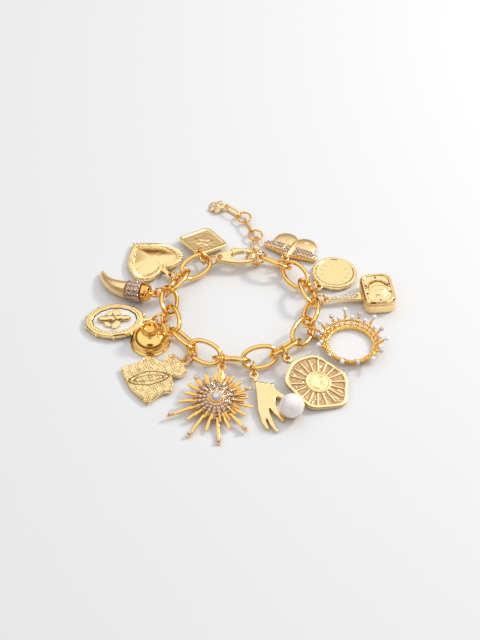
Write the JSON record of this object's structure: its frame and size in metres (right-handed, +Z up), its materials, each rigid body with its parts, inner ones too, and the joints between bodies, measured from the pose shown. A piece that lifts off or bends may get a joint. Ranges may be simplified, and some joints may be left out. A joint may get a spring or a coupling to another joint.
{
  "type": "charm bracelet",
  "caption": "Gold-coloured charm bracelet of big oval links with a lobster clasp, an extender chain and mixed charms on jump rings, lying in a loop.",
  "frame": {"origin": "on the floor, under the middle of the laid-out bracelet's bounding box", "axes": "+Z up from the floor that it lies on, -Y towards the viewer in the picture, +X to the picture's right"},
  "size_m": [0.1296, 0.138, 0.0114],
  "materials": {
    "polished": "polished",
    "satin": "satin",
    "pave": "set with small stones",
    "pearl": "pearl",
    "shell": "mother of pearl"
  },
  "bodies": {
    "bracelet": {"link_01": "polished", "link_02": "polished", "link_03": "polished", "link_04": "polished", "link_05": "polished", "link_06": "polished", "link_07": "polished", "link_08": "polished", "link_09": "polished", "link_10": "polished", "link_11": "polished", "link_12": "polished", "link_13": "polished", "link_14": "polished", "jump_ring_tag": "polished", "jump_ring_heart": "polished", "jump_ring_horn": "polished", "jump_ring_oval": "polished", "jump_ring_plaque": "polished", "jump_ring_star": "polished", "jump_ring_hand": "polished", "jump_ring_sun": "polished", "jump_ring_crown": "polished", "jump_ring_locket": "polished", "jump_ring_disc": "polished", "jump_ring_butterfly": "polished", "jump_ring_bell": "polished", "tag": "satin", "heart": "polished", "horn_cap": "polished", "horn_collar": "pave", "horn": "satin", "oval_frame": "polished", "oval_inlay": "shell", "oval_bee": "polished", "plaque": "satin", "star": "polished", "hand": "polished", "hand_pearl": "pearl", "sun": "satin", "crown": "polished", "locket": "satin", "disc": "polished", "butterfly": "polished", "bell": "polished", "clasp_body": "polished", "tail_ring": "polished", "end_ring": "polished", "extender_1_link": "polished", "extender_2_link": "polished", "extender_3_ring": "polished", "extender_4_link": "polished", "extender_5_ring": "polished", "extender_6_link": "polished", "flower": "pave"},
    "lever": {"clasp_lever": "polished"}
  },
  "joints": [
    {"name": "lever_hinge", "type": "hinge", "parent": "bracelet", "child": "lever", "pos_m": [-0.0054, 0.03169, 0.00588], "axis": [-0.0194, 0.2411, -0.9703], "range_deg": [0, 24], "stiffness_Nm_per_rad": 0.002, "springref_deg": -11.46}
  ]
}
